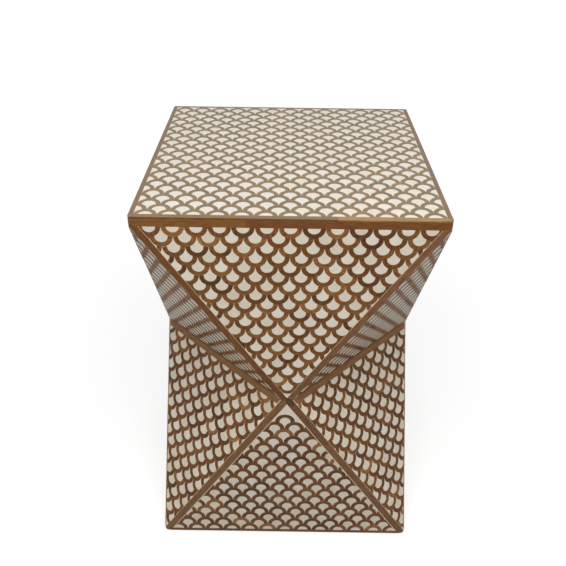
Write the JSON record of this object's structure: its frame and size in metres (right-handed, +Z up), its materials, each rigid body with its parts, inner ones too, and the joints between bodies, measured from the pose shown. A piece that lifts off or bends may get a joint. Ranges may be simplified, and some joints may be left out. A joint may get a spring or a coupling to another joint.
{
  "type": "moroccan kursi stool",
  "caption": "Square hourglass stool or side table with crossed sides, notched corners and a bone and wood fish-scale inlay all over.",
  "frame": {"origin": "on the floor under the middle of the stool, level with the undersides of the felt pads", "axes": "+Z up along the stool's height; +X to the right and +Y to the back, square to the sides, which are all alike"},
  "size_m": [0.3, 0.3, 0.45],
  "materials": {
    "bone": null,
    "strip_wood": "brown hardwood, satin lacquer",
    "board_wood": "plain sawn board",
    "felt": "brown felt"
  },
  "bodies": {
    "root": {"top_board": "board_wood", "base_board": "board_wood", "top_edging": "strip_wood", "top_bone": "bone", "side_panel_upper_front": "board_wood", "side_edging_upper_front": "strip_wood", "side_bone_upper_front": "bone", "side_panel_upper_right": "board_wood", "side_edging_upper_right": "strip_wood", "side_bone_upper_right": "bone", "side_panel_upper_back": "board_wood", "side_edging_upper_back": "strip_wood", "side_bone_upper_back": "bone", "side_panel_upper_left": "board_wood", "side_edging_upper_left": "strip_wood", "side_bone_upper_left": "bone", "corner_panel_upper_front_left": "board_wood", "waist_strip_upper_front_left": "strip_wood", "corner_bone_upper_front_left": "bone", "corner_panel_upper_front_right": "board_wood", "waist_strip_upper_front_right": "strip_wood", "corner_bone_upper_front_right": "bone", "corner_panel_upper_back_right": "board_wood", "waist_strip_upper_back_right": "strip_wood", "corner_bone_upper_back_right": "bone", "corner_panel_upper_back_left": "board_wood", "waist_strip_upper_back_left": "strip_wood", "corner_bone_upper_back_left": "bone", "side_panel_lower_front": "board_wood", "side_edging_lower_front": "strip_wood", "side_bone_lower_front": "bone", "side_panel_lower_right": "board_wood", "side_edging_lower_right": "strip_wood", "side_bone_lower_right": "bone", "side_panel_lower_back": "board_wood", "side_edging_lower_back": "strip_wood", "side_bone_lower_back": "bone", "side_panel_lower_left": "board_wood", "side_edging_lower_left": "strip_wood", "side_bone_lower_left": "bone", "corner_panel_lower_front_left": "board_wood", "waist_strip_lower_front_left": "strip_wood", "corner_bone_lower_front_left": "bone", "corner_panel_lower_front_right": "board_wood", "waist_strip_lower_front_right": "strip_wood", "corner_bone_lower_front_right": "bone", "corner_panel_lower_back_right": "board_wood", "waist_strip_lower_back_right": "strip_wood", "corner_bone_lower_back_right": "bone", "corner_panel_lower_back_left": "board_wood", "waist_strip_lower_back_left": "strip_wood", "corner_bone_lower_back_left": "bone", "waist_batten_front_left": "board_wood", "floor_pad_front_left": "felt", "waist_batten_front_right": "board_wood", "floor_pad_front_right": "felt", "waist_batten_back_right": "board_wood", "floor_pad_back_right": "felt", "waist_batten_back_left": "board_wood", "floor_pad_back_left": "felt"}
  },
  "joints": []
}
